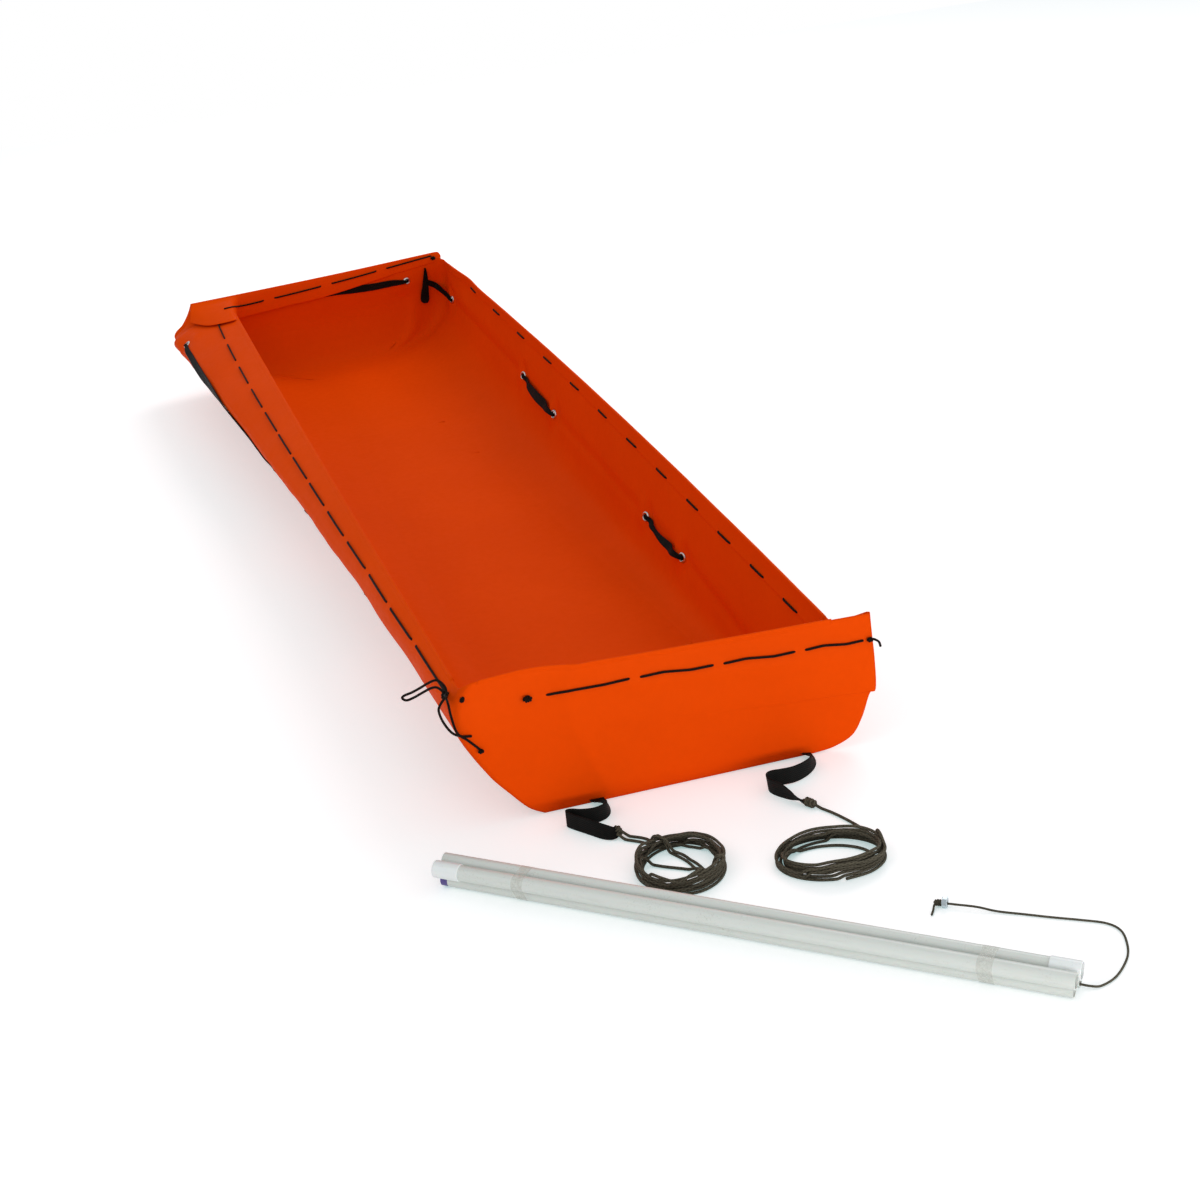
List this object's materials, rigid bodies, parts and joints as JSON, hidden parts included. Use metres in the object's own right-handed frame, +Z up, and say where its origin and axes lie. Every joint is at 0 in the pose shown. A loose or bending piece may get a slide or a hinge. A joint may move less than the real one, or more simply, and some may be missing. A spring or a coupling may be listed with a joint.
{
  "type": "pulk sled",
  "caption": "Shallow tub of coated sheet laced up at its hems, with load webbing through eyelets, coiled tow ropes and a taped bundle of shaft tubes.",
  "frame": {"origin": "on the ground, in the middle of the tub's flat floor", "axes": "+Z up, +Y from the tow end to the head end, +X to the side without the bow"},
  "size_m": [0.7591, 2.8542, 0.2186],
  "materials": {
    "coated_sheet": "satin coated sheet",
    "drawcord": "braided cord",
    "webbing": "woven webbing",
    "rope": "braided rope",
    "eyelet_metal": "rolled and plated",
    "nut_metal": "zinc plated",
    "tube_plastic": "smooth extruded",
    "tape": "translucent adhesive tape",
    "plug_plastic": "moulded"
  },
  "bodies": {
    "sled": {"sheet": "coated_sheet", "hem_front": "coated_sheet", "hem_right": "coated_sheet", "hem_head": "coated_sheet", "hem_left": "coated_sheet", "drawcord_front": "drawcord", "drawcord_right": "drawcord", "drawcord_head": "drawcord", "drawcord_left": "drawcord", "stopper_knots": "drawcord", "lace_bow": "drawcord", "eyelets_right": "eyelet_metal", "eyelets_left": "eyelet_metal", "eyelets_head": "eyelet_metal", "load_strap_right": "webbing", "load_strap_left": "webbing", "corner_tail": "webbing", "tow_strap_left": "webbing", "tow_strap_right": "webbing", "tow_rope_left": "rope", "tow_rope_right": "rope", "tow_knot_left": "rope", "tow_knot_right": "rope", "coil_left": "rope", "coil_right": "rope"},
    "tube_bundle": {"tube_low": "tube_plastic", "tube_front": "tube_plastic", "tube_back": "tube_plastic", "tube_cord": "tube_plastic", "coupler_front": "tube_plastic", "coupler_back": "tube_plastic", "end_plug": "plug_plastic", "tape_left": "tape", "tape_right": "tape", "thread_cord": "rope", "thread_knot": "rope"},
    "nut": {"thread_nut": "nut_metal"}
  },
  "joints": [
    {"name": "bundle_lift", "type": "slide", "parent": "sled", "child": "tube_bundle", "axis": [0, 0, 1], "range_m": [0, 0.3]},
    {"name": "nut_slide", "type": "slide", "parent": "tube_bundle", "child": "nut", "axis": [0.7934, -0.6088, 0], "range_m": [0, 0.03]}
  ]
}
